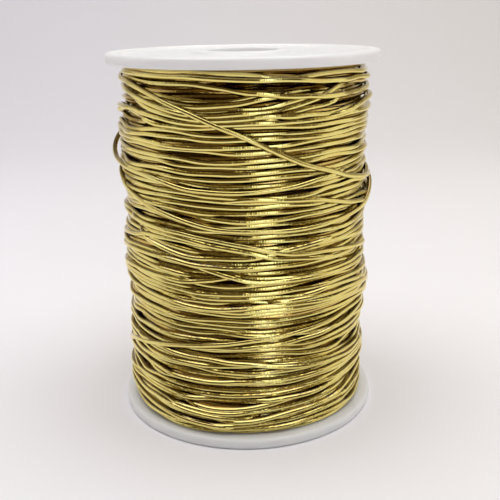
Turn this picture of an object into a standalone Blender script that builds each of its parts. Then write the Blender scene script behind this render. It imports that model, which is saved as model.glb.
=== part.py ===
"""Metallic elastic cord wound on a plastic reel that stands on one flange.

Metres, +Z up. The origin is the middle of the foot, and the reel's axis is Z. Angles around the reel are
in degrees from the front (-Y) and grow towards +X.
"""

import math

import bmesh
import bpy
import numpy as np

MM = 0.001
FULL_TURN = 360
SHARP_DEGREES = 40

# Driving dimensions of the reel
REEL_HEIGHT = 0.0874
FLANGE_RADIUS = 0.0320
FLANGE_THICKNESS = 0.0025
RIM_ROUND = 0.0007
LIP_WIDTH = 0.0024
RECESS_DEPTH = 0.0006
RECESS_SLOPE = 0.0003
BORE_RADIUS = 0.0085
HUB_WIDTH = 0.0036
TUBE_RADIUS = 0.0135
TUBE_WALL = 0.0018
SPIGOT_LENGTH = 0.0040
FIT_GAP = 0.0003
FLANGE_SEGMENTS = 56
TUBE_SEGMENTS = 32
RIM_STEPS = 3

# Driving dimensions of the winding
CORD_DIAMETER = 0.0012
GROOVE_DEPTH = 0.0009
BUNCH_WIDTH = 0.0024
CROWDED_RISE = 0.30
CROWDED_LIMIT = 0.0005
WINDING_SEGMENTS = 48
TURN_SIDES = 5
TURN_STEP_DEGREES = 8.0
TURN_TUCK = 0.0016
TUCK_DEGREES = 7.0

WINDING_LOW = FLANGE_THICKNESS + FIT_GAP
WINDING_HIGH = REEL_HEIGHT - FLANGE_THICKNESS - FIT_GAP
WINDING_BORE = TUBE_RADIUS + FIT_GAP

# Outer radius of the winding at heights above the floor, in mm
BARREL = (
    # height, radius
    (2.8, 28.9),
    (6.0, 29.6),
    (20.0, 29.5),
    (33.0, 29.8),
    (45.0, 29.4),
    (56.0, 29.5),
    (68.0, 30.0),
    (75.0, 29.6),
    (81.0, 28.8),
    (84.6, 28.4),
)

# The grooves between bunches of turns, from the foot up: heights in mm at six angles across the front
FRONT_ANGLES = (-70, -40, -12, 12, 40, 70)
GROOVES = (
    # left edge, left, left of middle, right of middle, right, right edge
    (5.2, 4.6, 4.3, 4.2, 4.4, 4.5),
    (8.0, 7.0, 6.2, 7.0, 8.0, 8.8),
    (9.9, 8.9, 8.2, 9.2, 10.1, 10.9),
    (11.8, 11.6, 11.6, 11.8, 12.1, 12.8),
    (15.0, 13.8, 13.7, 14.2, 14.6, 14.6),
    (17.2, 17.0, 16.8, 16.6, 16.4, 16.5),
    (19.6, 19.1, 18.8, 18.6, 18.2, 18.4),
    (21.7, 21.0, 21.8, 21.6, 20.4, 20.7),
    (24.0, 23.2, 23.8, 24.0, 23.0, 23.4),
    (26.8, 26.3, 26.6, 26.0, 25.6, 26.2),
    (29.4, 29.0, 29.0, 28.6, 28.4, 28.8),
    (32.2, 31.3, 31.2, 31.2, 31.2, 30.9),
    (34.3, 33.4, 33.3, 33.2, 33.2, 32.8),
    (36.2, 35.9, 35.2, 35.2, 35.4, 34.8),
    (38.4, 38.2, 37.4, 37.6, 37.9, 37.4),
    (40.9, 40.6, 39.6, 39.6, 39.9, 39.8),
    (43.2, 43.1, 41.8, 41.8, 41.9, 42.1),
    (45.6, 45.3, 44.4, 44.4, 44.2, 44.4),
    (48.2, 47.9, 46.6, 46.8, 46.6, 46.8),
    (50.5, 50.0, 49.2, 49.0, 48.8, 49.2),
    (52.8, 52.6, 51.8, 51.6, 51.8, 52.0),
    (55.2, 55.2, 54.6, 54.4, 54.4, 54.8),
    (57.7, 57.5, 57.2, 57.2, 57.2, 57.8),
    (60.2, 60.2, 59.2, 59.2, 59.4, 60.2),
    (62.8, 62.4, 61.6, 61.8, 61.9, 62.6),
    (65.2, 64.8, 64.4, 64.4, 64.8, 65.2),
    (67.8, 67.4, 67.2, 67.4, 67.9, 67.8),
    (70.4, 70.0, 69.9, 70.2, 70.4, 70.4),
    (73.2, 72.7, 72.6, 72.6, 72.5, 72.8),
    (76.2, 75.3, 75.0, 75.1, 75.4, 75.4),
    (79.2, 78.2, 77.6, 77.8, 78.0, 78.0),
    (81.8, 81.0, 80.6, 80.6, 80.5, 80.4),
)

# The back is wound as unevenly as the front: each groove sways there by this much
BACK_ANGLES = (125, 180, 235)
BACK_SWAY = 0.55
BACK_SWAY_STEP = 0.9
BACK_SWAY_PHASES = (0.4, 2.6, 4.3)

# Turns that cross over the others: angle and height along each, and how far it stands off the bunches, in mm
CROSSING_TURNS = {
    "long_diagonal": (0.45, (
        (-100, 82.4), (-80, 82.1), (-65, 81.6), (-54, 80.7), (-40, 79.0), (-25, 76.6), (-12, 74.0),
        (2, 70.9), (15, 67.5), (25, 65.1), (39, 62.8), (51, 60.9), (65, 59.4), (80, 58.8), (100, 58.5),
    )),
    "slack_loop": (0.50, (
        (-122, 70.6), (-106, 69.2), (-93, 66.6), (-78, 63.8), (-65, 63.1), (-50, 62.4), (-36, 61.3),
        (-25, 60.2), (-12, 59.7), (2, 59.7), (15, 60.2), (28, 61.1), (42, 62.0), (56, 62.9),
    )),
    "deep_swag": (0.45, (
        (-96, 62.6), (-84, 61.4), (-74, 59.8), (-64, 57.8), (-52, 56.2), (-40, 54.6), (-27, 53.1),
        (-14, 51.9), (0, 51.2), (15, 51.0), (35, 51.2), (52, 52.0), (64, 53.1), (73, 55.2), (82, 58.0),
        (96, 60.4),
    )),
    "middle_crossing": (0.35, (
        (-75, 51.6), (-50, 50.8), (-25, 49.9), (-12, 48.9), (0, 47.9), (12, 46.5), (24, 45.4),
        (40, 44.7), (56, 43.8), (72, 42.8), (90, 42.2),
    )),
    "rising_turn": (0.40, (
        (-95, 16.2), (-78, 17.6), (-65, 20.0), (-54, 21.4), (-40, 22.7), (-25, 23.9), (-12, 25.0),
        (4, 26.1), (20, 27.0), (42, 28.0), (64, 28.9), (84, 29.4),
    )),
    "shoulder_turn": (0.30, (
        (-96, 80.6), (-80, 80.3), (-65, 79.8), (-50, 78.4), (-35, 76.8), (-22, 75.8), (-8, 75.2),
    )),
    "foot_turn": (0.25, (
        (-96, 9.0), (-80, 8.0), (-65, 7.0), (-40, 5.5), (-15, 4.6), (6, 4.3),
    )),
    "back_diagonal": (0.40, (
        (112, 74.2), (132, 72.0), (152, 68.4), (172, 64.0), (192, 60.2), (214, 57.4), (238, 56.0),
    )),
    "back_rise": (0.35, (
        (110, 12.4), (135, 14.0), (160, 17.4), (185, 20.8), (212, 22.8), (240, 23.6),
    )),
}


def clear_scene():
    """Takes out every object that the file starts with."""
    for obj in list(bpy.data.objects):
        bpy.data.objects.remove(obj, do_unlink=True)


def make_material(name, color, metallic, roughness):
    material = bpy.data.materials.new(name)
    material.use_nodes = True
    shader = material.node_tree.nodes["Principled BSDF"]
    shader.inputs["Base Color"].default_value = (*color, 1.0)
    shader.inputs["Metallic"].default_value = metallic
    shader.inputs["Roughness"].default_value = roughness
    return material


def white_plastic():
    return make_material("white_reel_plastic", (0.84, 0.84, 0.83), 0.0, 0.38)


def tube_plastic():
    return make_material("white_tube_plastic", (0.80, 0.80, 0.79), 0.0, 0.45)


def gold_cord():
    return make_material("gold_elastic_cord", (0.60, 0.47, 0.15), 0.9, 0.32)


def finished_object(name, shape, material):
    """Turns a bmesh into an object with its faces out, smooth where it is round."""
    bmesh.ops.recalc_face_normals(shape, faces=shape.faces)
    mesh = bpy.data.meshes.new(name)
    shape.to_mesh(mesh)
    shape.free()
    mesh.shade_smooth()
    mesh.set_sharp_from_angle(angle=math.radians(SHARP_DEGREES))
    if material is not None:
        mesh.materials.append(material)
    obj = bpy.data.objects.new(name, mesh)
    bpy.context.scene.collection.objects.link(obj)
    return obj


def bridge_rings(shape, rings, closed):
    """Joins each ring of vertices to the next with quads, and the last to the first where it is closed."""
    pairs = list(zip(rings, rings[1:]))
    if closed:
        pairs.append((rings[-1], rings[0]))
    for lower, upper in pairs:
        for side in range(len(lower)):
            after = (side + 1) % len(lower)
            shape.faces.new((lower[side], lower[after], upper[after], upper[side]))


def turned(name, profile, segments, material):
    """A closed profile of (radius, height) points turned about the reel's axis."""
    shape = bmesh.new()
    rings = []
    for radius, height in profile:
        ring = []
        for step in range(segments):
            angle = 2 * math.pi * step / segments
            ring.append(shape.verts.new((radius * math.cos(angle), radius * math.sin(angle), height)))
        rings.append(ring)
    bridge_rings(shape, rings, closed=True)
    finished_object(name, shape, material)


def arc(center, radius, start_degrees, end_degrees, steps):
    """Points along a round corner, both ends included."""
    points = []
    for angle in np.linspace(math.radians(start_degrees), math.radians(end_degrees), steps + 1):
        points.append((center[0] + radius * math.cos(angle), center[1] + radius * math.sin(angle)))
    return points


def flange_profile():
    """The lower flange's section: hub ring, recess, raised lip, round rim, inner face and spigot."""
    hub_outer = BORE_RADIUS + HUB_WIDTH
    lip_inner = FLANGE_RADIUS - LIP_WIDTH
    spigot_outer = TUBE_RADIUS - TUBE_WALL - FIT_GAP
    rim_center = FLANGE_RADIUS - RIM_ROUND
    spigot_top = FLANGE_THICKNESS + SPIGOT_LENGTH
    profile = [
        (BORE_RADIUS, 0.0),
        (hub_outer, 0.0),
        (hub_outer + RECESS_SLOPE, RECESS_DEPTH),
        (lip_inner - RECESS_SLOPE, RECESS_DEPTH),
        (lip_inner, 0.0),
    ]
    profile += arc((rim_center, RIM_ROUND), RIM_ROUND, -90, 0, RIM_STEPS)
    profile += arc((rim_center, FLANGE_THICKNESS - RIM_ROUND), RIM_ROUND, 0, 90, RIM_STEPS)
    profile += [
        (spigot_outer, FLANGE_THICKNESS),
        (spigot_outer, spigot_top),
        (BORE_RADIUS, spigot_top),
    ]
    return profile


def make_flanges(material):
    lower = flange_profile()
    upper = [(radius, REEL_HEIGHT - height) for radius, height in lower]
    turned("flange_bottom", lower, FLANGE_SEGMENTS, material)
    turned("flange_top", upper, FLANGE_SEGMENTS, material)


def make_core_tube(material):
    inner = TUBE_RADIUS - TUBE_WALL
    low = FLANGE_THICKNESS + FIT_GAP
    high = REEL_HEIGHT - low
    profile = [(inner, low), (TUBE_RADIUS, low), (TUBE_RADIUS, high), (inner, high)]
    turned("core_tube", profile, TUBE_SEGMENTS, material)


def smooth_between(knots, values, at):
    """A smooth curve through the values at the knots, with slopes taken from each knot's neighbours."""
    knots = np.asarray(knots, float)
    values = np.asarray(values, float)
    at = np.clip(at, knots[0], knots[-1])
    slopes = np.gradient(values, knots)
    index = np.clip(np.searchsorted(knots, at, side="right") - 1, 0, len(knots) - 2)
    span = knots[index + 1] - knots[index]
    t = (at - knots[index]) / span
    start = values[index] * (2 * t**3 - 3 * t**2 + 1) + slopes[index] * span * (t**3 - 2 * t**2 + t)
    end = values[index + 1] * (3 * t**2 - 2 * t**3) + slopes[index + 1] * span * (t**3 - t**2)
    return start + end


def around_reel(front, back, angles):
    """A height read at the front and back angles, made one smooth closed line around the reel."""
    knots = list(FRONT_ANGLES) + list(BACK_ANGLES)
    values = list(front) + list(back)
    all_knots = [k - FULL_TURN for k in knots] + knots + [k + FULL_TURN for k in knots]
    return smooth_between(all_knots, values * 3, np.asarray(angles, float) % FULL_TURN)


def barrel_radius(heights_mm):
    """The winding's outer radius in mm at heights in mm."""
    heights, radii = zip(*BARREL)
    return smooth_between(heights, radii, np.asarray(heights_mm, float))


def groove_lines(angles):
    """The heights of every groove around the reel in mm, a row for each groove from the foot up."""
    lines = []
    for number, front in enumerate(GROOVES):
        middle = (front[0] + front[-1]) / 2
        back = []
        for phase in BACK_SWAY_PHASES:
            back.append(middle + BACK_SWAY * math.sin(BACK_SWAY_STEP * number + phase))
        lines.append(around_reel(front, back, angles))
    return np.array(lines)


def winding_rows(angles):
    """Height and radius in mm of each row of the winding's outer face, grooves and crests in turn."""
    low = np.full(len(angles), WINDING_LOW / MM)
    high = np.full(len(angles), WINDING_HIGH / MM)
    lines = np.vstack([low[None], groove_lines(angles), high[None]])
    rows = [(lines[0], barrel_radius(lines[0]) - GROOVE_DEPTH / MM / 2)]
    for below, above in zip(lines, lines[1:]):
        crest = (below + above) / 2
        crowding = CROWDED_RISE * (BUNCH_WIDTH / MM - (above - below))
        limit = CROWDED_LIMIT / MM
        rows.append((crest, barrel_radius(crest) + np.clip(crowding, -limit, limit)))
        rows.append((above, barrel_radius(above) - GROOVE_DEPTH / MM))
    rows[-1] = (lines[-1], barrel_radius(lines[-1]) - GROOVE_DEPTH / MM / 2)
    return rows


def on_reel(radius_mm, angle_degrees, height_mm):
    """The point at this radius, angle from the front and height."""
    angle = math.radians(angle_degrees)
    return (
        radius_mm * MM * math.sin(angle),
        -radius_mm * MM * math.cos(angle),
        height_mm * MM,
    )


def wound_body(material):
    """The winding's lumpy ring around the tube, its bunches following the grooves."""
    angles = np.arange(WINDING_SEGMENTS) * FULL_TURN / WINDING_SEGMENTS
    shape = bmesh.new()
    rings = []
    for heights, radii in winding_rows(angles):
        ring = []
        for angle, height, radius in zip(angles, heights, radii):
            ring.append(shape.verts.new(on_reel(radius, angle, height)))
        rings.append(ring)
    for height in (WINDING_HIGH, WINDING_LOW):
        ring = []
        for angle in angles:
            ring.append(shape.verts.new(on_reel(WINDING_BORE / MM, angle, height / MM)))
        rings.append(ring)
    bridge_rings(shape, rings, closed=True)
    return finished_object("winding", shape, material)


def turn_route(stand_off_mm, stations):
    """Points along a crossing turn, its two ends tucked under the bunches."""
    knots, heights = zip(*stations)
    count = math.ceil((knots[-1] - knots[0]) / TURN_STEP_DEGREES) + 1
    angles = np.linspace(knots[0], knots[-1], count)
    heights = smooth_between(knots, heights, angles)
    from_end = np.minimum(angles - knots[0], knots[-1] - angles)
    tuck = TURN_TUCK / MM * np.clip(1 - from_end / TUCK_DEGREES, 0, 1)
    radii = barrel_radius(heights) + stand_off_mm - tuck
    points = []
    for radius, angle, height in zip(radii, angles, heights):
        points.append(np.array(on_reel(radius, angle, height)))
    return points


def turn_tube(name, points):
    """A closed tube of the cord's diameter along the points, hidden until it joins the winding."""
    shape = bmesh.new()
    rings = []
    for number, point in enumerate(points):
        before = points[max(number - 1, 0)]
        after = points[min(number + 1, len(points) - 1)]
        along = (after - before) / np.linalg.norm(after - before)
        outward = np.array([point[0], point[1], 0.0])
        outward = outward - along * outward.dot(along)
        outward = outward / np.linalg.norm(outward)
        sideways = np.cross(along, outward)
        ring = []
        for side in range(TURN_SIDES):
            angle = 2 * math.pi * (side + 0.5) / TURN_SIDES
            offset = outward * math.cos(angle) + sideways * math.sin(angle)
            ring.append(shape.verts.new(point + offset * CORD_DIAMETER / 2))
        rings.append(ring)
    bridge_rings(shape, rings, closed=False)
    shape.faces.new(rings[0])
    shape.faces.new(rings[-1])
    tube = finished_object(name, shape, None)
    tube.hide_render = True
    tube.display_type = "WIRE"
    return tube


def make_winding(material):
    winding = wound_body(material)
    for name, (stand_off, stations) in CROSSING_TURNS.items():
        tube = turn_tube(name + "_guide", turn_route(stand_off, stations))
        union = winding.modifiers.new(name, "BOOLEAN")
        union.operation = "UNION"
        union.solver = "EXACT"
        union.object = tube


def main():
    clear_scene()
    make_flanges(white_plastic())
    make_core_tube(tube_plastic())
    make_winding(gold_cord())


main()
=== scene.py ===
"""Looks of an elastic cord wound on a plastic reel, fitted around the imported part.

Metres, +Z up, with the reel's axis on Z. The winding's tables are in mm and in degrees around the reel,
counted from the front (-Y) and growing towards +X.
"""

import math

import bpy
import numpy as np
from bpy.props import FloatProperty, FloatVectorProperty, IntProperty, PointerProperty
from mathutils import Matrix, Vector


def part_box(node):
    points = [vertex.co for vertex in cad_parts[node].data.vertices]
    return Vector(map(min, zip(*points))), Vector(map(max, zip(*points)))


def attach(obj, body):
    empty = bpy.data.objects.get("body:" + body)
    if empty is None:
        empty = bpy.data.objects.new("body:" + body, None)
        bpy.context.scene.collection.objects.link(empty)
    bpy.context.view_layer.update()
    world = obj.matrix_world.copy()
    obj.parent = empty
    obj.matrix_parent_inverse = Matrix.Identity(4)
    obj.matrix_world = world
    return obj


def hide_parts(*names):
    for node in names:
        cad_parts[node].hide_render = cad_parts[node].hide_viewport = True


bl_info = {
    "name": "Wound elastic cord",
    "version": (1, 0, 0),
    "blender": (4, 5, 0),
    "location": "3D View > Sidebar > Cord reel",
    "description": "Lays the turns of a gold elastic cord on its white reel and sets a plain studio",
    "category": "Object",
}

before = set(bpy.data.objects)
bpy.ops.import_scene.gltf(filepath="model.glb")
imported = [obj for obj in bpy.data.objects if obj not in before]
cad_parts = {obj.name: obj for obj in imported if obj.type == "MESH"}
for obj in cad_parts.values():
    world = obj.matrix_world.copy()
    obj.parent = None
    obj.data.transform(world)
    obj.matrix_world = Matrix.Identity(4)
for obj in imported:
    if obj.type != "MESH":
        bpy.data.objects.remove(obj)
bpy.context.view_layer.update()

MM = 0.001
FULL_TURN = 360
HALF_TURN = 180

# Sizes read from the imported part
REEL_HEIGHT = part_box("flange_top")[1].z
FLANGE_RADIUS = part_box("flange_bottom")[1].x
TUBE_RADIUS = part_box("core_tube")[1].x
WINDING_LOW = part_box("winding")[0].z
WINDING_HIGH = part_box("winding")[1].z

# The flange's section
FLANGE_THICKNESS = 0.0025
LIP_WIDTH = 0.0024
RECESS_DEPTH = 0.0006
RECESS_SLOPE = 0.0003
BORE_RADIUS = 0.0085
HUB_WIDTH = 0.0036
TUBE_WALL = 0.0018
SPIGOT_LENGTH = 0.0040
FIT_GAP = 0.0003
EDGE_ROUND = 0.00012
RIM_STEPS = 5
EDGE_STEPS = 2
FLANGE_GLOSS = 0.24
TUBE_GLOSS = 0.38
COOL_SHADE = 0.965
SMOOTH_ANGLE = 35
MERGE_DISTANCE = 0.005 * MM

# How dark the painted shade makes the foil at sides against neighbouring turns and far down, its darkest
# colour, and the foil's relief
SIDE_SHADE = 0.92
DEPTH_SHADE = 0.8
DARKEST_SHADE = 0.45
GLINT_PALENESS = 0.35
GLINT_RELIEF = 0.5
RIPPLE_RELIEF = 16.0

# Outer radius of the winding at heights above the floor, in mm: now fuller at one side, now at the other
BARREL = (
    # height, left, right
    (2.8, 30.0, 29.6),
    (6.0, 30.1, 29.6),
    (13.0, 29.9, 29.4),
    (18.7, 30.1, 29.5),
    (27.6, 29.5, 29.7),
    (33.3, 29.6, 30.3),
    (39.2, 30.2, 29.6),
    (44.3, 30.0, 29.6),
    (48.5, 29.4, 29.6),
    (53.0, 29.5, 30.2),
    (60.0, 30.0, 29.7),
    (67.0, 30.3, 29.6),
    (71.8, 30.0, 29.9),
    (75.0, 29.6, 30.5),
    (78.0, 29.2, 30.1),
    (81.0, 29.0, 29.7),
    (84.6, 28.7, 28.9),
)

# The grooves between bunches of turns, from the foot up: heights in mm at six angles across the front
FRONT_ANGLES = (-70, -40, -12, 12, 40, 70)
GROOVES = (
    # left edge, left, left of middle, right of middle, right, right edge
    (5.2, 4.6, 4.3, 4.2, 4.4, 4.5),
    (8.0, 7.0, 6.2, 7.0, 8.0, 8.8),
    (9.9, 8.9, 8.2, 9.2, 10.1, 10.9),
    (11.8, 11.6, 11.6, 11.8, 12.1, 12.8),
    (15.0, 13.8, 13.7, 14.2, 14.6, 14.6),
    (17.2, 17.0, 16.8, 16.6, 16.4, 16.5),
    (19.6, 19.1, 18.8, 18.6, 18.2, 18.4),
    (21.7, 21.0, 21.8, 21.6, 20.4, 20.7),
    (24.0, 23.2, 23.8, 24.0, 23.0, 23.4),
    (26.8, 26.3, 26.6, 26.0, 25.6, 26.2),
    (29.4, 29.0, 29.0, 28.6, 28.4, 28.8),
    (32.2, 31.3, 31.2, 31.2, 31.2, 30.9),
    (34.3, 33.4, 33.3, 33.2, 33.2, 32.8),
    (36.2, 35.9, 35.2, 35.2, 35.4, 34.8),
    (38.4, 38.2, 37.4, 37.6, 37.9, 37.4),
    (40.9, 40.6, 39.6, 39.6, 39.9, 39.8),
    (43.2, 43.1, 41.8, 41.8, 41.9, 42.1),
    (45.6, 45.3, 44.4, 44.4, 44.2, 44.4),
    (48.2, 47.9, 46.6, 46.8, 46.6, 46.8),
    (50.5, 50.0, 49.2, 49.0, 48.8, 49.2),
    (52.8, 52.6, 51.8, 51.6, 51.8, 52.0),
    (55.2, 55.2, 54.6, 54.4, 54.4, 54.8),
    (57.7, 57.5, 57.2, 57.2, 57.2, 57.8),
    (60.2, 60.2, 59.2, 59.2, 59.4, 60.2),
    (62.8, 62.4, 61.6, 61.8, 61.9, 62.6),
    (65.2, 64.8, 64.4, 64.4, 64.8, 65.2),
    (67.8, 67.4, 67.2, 67.4, 67.9, 67.8),
    (70.4, 70.0, 69.9, 70.2, 70.4, 70.4),
    (73.2, 72.7, 72.6, 72.6, 72.5, 72.8),
    (76.2, 75.3, 75.0, 75.1, 75.4, 75.4),
)

# The turns above the last groove, one row each, read at the same six angles
SHOULDER_TURNS = (
    (78.8, 76.5, 75.0, 75.3, 75.7, 76.9),
    (82.4, 81.8, 80.7, 79.8, 79.0, 78.7),
    (83.6, 83.6, 82.8, 82.0, 81.5, 81.0),
    (84.3, 84.3, 83.9, 83.2, 82.9, 82.8),
)

# The back is wound as unevenly as the front: each groove sways there by this much
BACK_ANGLES = (125, 180, 235)
BACK_SWAY = 0.55
BACK_SWAY_STEP = 0.9
BACK_SWAY_PHASES = (0.4, 2.6, 4.3)

# Hollows between the bunches, where the turns have slid apart
HOLLOWS = (
    # angle, height, half width in degrees, half height, how deep
    (-50, 80.8, 8, 0.5, 0.5),
    (-20, 79.8, 17, 1.1, 0.6),
    (10, 81.2, 24, 0.9, 0.5),
    (28, 80.8, 8, 0.7, 0.6),
    (62, 80.2, 11, 0.8, 0.6),
    (-60, 78.0, 12, 1.0, 0.7),
    (62, 77.4, 16, 0.8, 0.5),
    (30, 77.6, 13, 0.6, 0.4),
    (-62, 73.6, 17, 1.2, 0.8),
    (50, 71.5, 9, 0.4, 0.4),
    (-50, 68.0, 20, 0.7, 0.7),
    (58, 67.3, 11, 0.7, 0.6),
    (-58, 65.0, 14, 0.7, 0.6),
    (0, 59.0, 28, 0.4, 0.5),
    (66, 59.5, 8, 0.5, 0.5),
    (74, 56.5, 7, 1.2, 0.8),
    (-60, 55.5, 11, 0.4, 0.5),
    (47, 53.4, 9, 0.8, 0.8),
    (-48, 52.6, 14, 0.6, 0.7),
    (-20, 51.6, 12, 0.5, 0.5),
    (-66, 48.5, 8, 0.8, 0.7),
    (-50, 46.0, 20, 0.4, 0.5),
    (-2, 46.4, 9, 0.5, 0.6),
    (15, 44.9, 12, 0.4, 0.6),
    (-12, 42.3, 7, 0.4, 0.5),
    (60, 42.8, 9, 1.0, 0.9),
    (-45, 40.9, 20, 0.5, 0.5),
    (-8, 39.5, 11, 0.5, 0.5),
    (-50, 37.9, 20, 0.4, 0.5),
    (-52, 35.8, 14, 0.5, 0.6),
    (28, 35.1, 22, 0.4, 0.5),
    (-42, 31.5, 20, 0.5, 0.6),
    (40, 31.2, 24, 0.5, 0.6),
    (40, 28.6, 13, 0.5, 0.5),
    (-10, 27.0, 20, 0.5, 0.4),
    (-60, 26.7, 9, 0.8, 0.8),
    (58, 26.0, 9, 0.6, 0.6),
    (-12, 22.4, 15, 0.6, 0.7),
    (61, 20.6, 9, 0.9, 0.7),
    (-40, 19.2, 18, 0.5, 0.5),
    (-5, 19.0, 11, 0.5, 0.6),
    (-45, 17.0, 12, 0.4, 0.5),
    (-60, 15.0, 9, 1.0, 0.9),
    (-35, 13.9, 14, 0.4, 0.5),
    (5, 14.5, 24, 0.5, 0.4),
    (35, 11.7, 14, 0.5, 0.5),
    (-56, 8.8, 9, 0.6, 0.6),
    (22, 7.2, 13, 0.5, 0.5),
    (60, 6.5, 9, 0.9, 0.7),
    (-50, 4.7, 14, 0.5, 0.5),
    (118, 55.0, 14, 0.7, 0.7),
    (140, 66.0, 14, 0.8, 0.8),
    (150, 12.5, 15, 0.6, 0.6),
    (165, 24.0, 14, 0.8, 0.8),
    (186, 72.0, 18, 0.7, 0.6),
    (205, 47.5, 12, 0.7, 0.8),
    (210, 33.5, 16, 0.5, 0.6),
    (225, 78.6, 12, 0.8, 0.8),
    (232, 18.0, 12, 0.6, 0.6),
    (246, 60.5, 14, 0.6, 0.6),
)

# Turns that sag in the hollow under the shoulder: angle and height along each
SUNKEN_TURNS = {
    "sag_one": ((-80, 80.9), (-60, 80.4), (-45, 79.6), (-32, 78.8), (-23, 78.4), (-12, 78.5), (0, 79.1),
                (10, 79.7), (20, 79.8), (36, 79.4)),
    "sag_two": ((-70, 79.9), (-50, 79.0), (-38, 78.4), (-27, 77.6), (-15, 77.4), (-3, 78.0), (6, 79.0),
                (16, 79.6), (30, 79.3)),
    "sag_three": ((-60, 78.7), (-40, 77.6), (-25, 76.7), (-10, 76.4), (8, 77.0), (20, 78.1), (30, 79.0),
                  (44, 79.2), (58, 79.0)),
    "sag_four": ((-50, 77.4), (-35, 76.8), (-20, 76.0), (-5, 75.7), (15, 76.7), (28, 78.2), (38, 79.6),
                 (47, 80.9), (60, 81.2)),
    "sag_five": ((-14, 74.4), (10, 74.9), (21, 76.0), (34, 77.2), (45, 78.2), (58, 78.9)),
}

# How far a turn stands off, at which angle most, and over how many degrees to each side
TAUT = (0.0, 0, 1)

# Turns that cross over the others: the slack of each, then angle and height along it
CROSSING_TURNS = {
    "foot_turn": (TAUT, (
        (-96, 9.0), (-80, 8.0), (-65, 7.0), (-40, 5.5), (-15, 4.6), (6, 4.3),
    )),
    "shoulder_turn": (TAUT, (
        (-96, 80.6), (-80, 80.3), (-65, 79.8), (-50, 78.4), (-35, 76.8), (-22, 75.8), (-8, 75.2),
    )),
    "back_rise": (TAUT, (
        (110, 12.4), (135, 14.0), (160, 17.4), (185, 20.8), (212, 22.8), (240, 23.6),
    )),
    "back_diagonal": (TAUT, (
        (112, 74.2), (132, 72.0), (152, 68.4), (172, 64.0), (192, 60.2), (214, 57.4), (238, 56.0),
    )),
    "rising_turn": (TAUT, (
        (-95, 16.2), (-78, 17.6), (-65, 20.0), (-54, 21.4), (-40, 22.7), (-25, 23.9), (-12, 25.0),
        (4, 26.1), (20, 27.0), (42, 28.0), (64, 28.9), (84, 29.4),
    )),
    "middle_crossing": (TAUT, (
        (-75, 51.6), (-50, 50.8), (-25, 49.9), (-12, 48.9), (0, 47.9), (12, 46.5), (24, 45.4),
        (40, 44.7), (56, 43.8), (72, 42.8), (90, 42.2),
    )),
    "deep_swag": ((0.5, 84, 14), (
        (-96, 62.6), (-84, 61.4), (-74, 59.8), (-64, 57.8), (-52, 56.2), (-40, 54.6), (-27, 53.1),
        (-14, 51.9), (0, 51.2), (15, 51.0), (35, 51.2), (52, 52.0), (64, 53.1), (73, 55.2), (82, 58.0),
        (96, 60.4),
    )),
    "slack_loop": ((1.2, -90, 17), (
        (-122, 70.6), (-106, 69.2), (-93, 66.6), (-78, 63.8), (-65, 63.1), (-50, 62.4), (-36, 61.3),
        (-25, 60.2), (-12, 59.7), (2, 59.7), (15, 60.2), (28, 61.1), (42, 62.0), (56, 62.9),
    )),
    "long_diagonal": (TAUT, (
        (-100, 82.4), (-80, 82.1), (-65, 81.6), (-54, 80.7), (-40, 79.0), (-25, 76.6), (-12, 74.0),
        (2, 70.9), (15, 67.5), (25, 65.1), (39, 62.8), (51, 60.9), (65, 59.4), (80, 58.8), (100, 58.5),
    )),
}

# Smaller turns that lie a little across their bunches, laid before the crossing turns
STRAY_TURNS = {
    "right_crossing": ((-14, 58.3), (0, 58.4), (13, 58.2), (25, 57.6), (40, 56.2), (56, 54.4), (66, 53.8),
                       (86, 53.3)),
    "left_low": ((-92, 37.9), (-76, 38.4), (-65, 39.0), (-40, 39.3), (-25, 39.6), (-10, 40.7), (6, 41.2)),
    "short_crossing": ((-36, 43.9), (-24, 43.5), (-15, 42.5), (-7, 41.2), (0, 40.4), (8, 40.0), (15, 39.9),
                       (40, 39.6), (65, 39.3), (84, 39.2)),
    "falling_turn": ((-74, 22.2), (-50, 21.9), (-40, 21.7), (-15, 20.9), (0, 20.2), (15, 19.4), (40, 18.1),
                     (65, 17.1), (88, 16.4)),
    "left_bow": ((-96, 45.2), (-76, 46.0), (-65, 46.8), (-45, 48.4), (-30, 48.4), (-15, 47.7), (4, 46.6)),
    "left_dip": ((-66, 49.4), (-46, 47.3), (-30, 45.7), (-15, 45.0), (0, 45.3), (10, 46.1),
                 (22, 47.0), (36, 47.4), (54, 47.6)),
    "low_bow": ((-96, 42.4), (-76, 43.0), (-65, 43.9), (-40, 43.9), (-15, 43.2), (0, 42.9), (15, 43.3),
                (32, 43.6), (50, 43.4), (70, 43.9), (88, 43.4)),
    "right_slope": ((0, 34.3), (15, 34.7), (30, 34.9), (46, 34.8), (65, 34.0), (76, 33.0), (92, 32.0)),
    "rising_pair": ((-30, 23.0), (-15, 23.9), (0, 24.5), (15, 25.0), (40, 26.0), (65, 27.3), (84, 28.0)),
    "crossing_pair": ((-60, 50.0), (-25, 48.7), (-12, 47.7), (0, 46.7), (12, 45.3), (24, 44.2), (40, 43.5),
                      (56, 42.6)),
    "left_fan": ((-92, 10.4), (-65, 9.3), (-40, 8.0), (-25, 7.6), (-5, 6.9), (15, 7.4)),
    "foot_rise": ((-20, 5.4), (-5, 5.6), (15, 6.8), (40, 7.9), (56, 9.6), (74, 11.4), (90, 12.4)),
    "right_rise": ((28, 74.6), (40, 74.9), (48, 75.4), (56, 76.1), (65, 76.6), (80, 77.2), (96, 77.4)),
    "back_sway_high": ((104, 80.8), (130, 79.8), (155, 77.6), (182, 75.0), (210, 73.6), (236, 73.2)),
    "back_sway_middle": ((108, 50.2), (136, 48.8), (160, 45.6), (186, 42.8), (214, 41.6), (244, 41.8)),
    "back_sway_low": ((106, 33.4), (132, 34.2), (158, 36.4), (184, 38.6), (208, 39.2), (232, 38.6)),
    "side_sway": ((86, 70.6), (102, 69.0), (124, 66.2), (148, 63.4), (172, 61.8), (198, 61.4)),
}

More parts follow.
